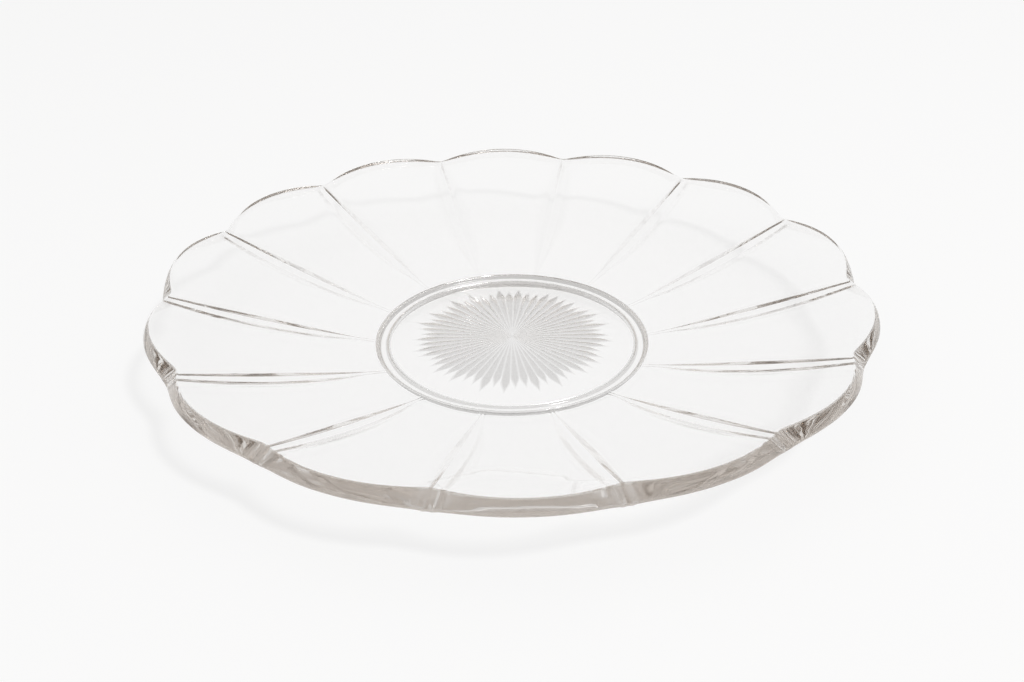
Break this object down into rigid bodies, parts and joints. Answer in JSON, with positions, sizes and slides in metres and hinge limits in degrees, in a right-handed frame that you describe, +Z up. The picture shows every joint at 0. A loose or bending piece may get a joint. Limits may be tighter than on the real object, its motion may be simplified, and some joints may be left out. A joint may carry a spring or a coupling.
{
  "type": "glass saucer",
  "caption": "Shallow round saucer of clear pressed glass with a scalloped edge, ribbed panels underneath, foot ring and rayed star under the well.",
  "frame": {"origin": "on the saucer's axis, on the table plane under the foot ring", "axes": "+Z up along the axis of the saucer, -Y towards the front of the picture, +X through a notch of the edge"},
  "size_m": [0.1496, 0.152, 0.0181],
  "materials": {
    "glass": "clear polished pressed glass with a faint warm grey tint"
  },
  "bodies": {
    "root": {"saucer": "glass"}
  },
  "joints": []
}
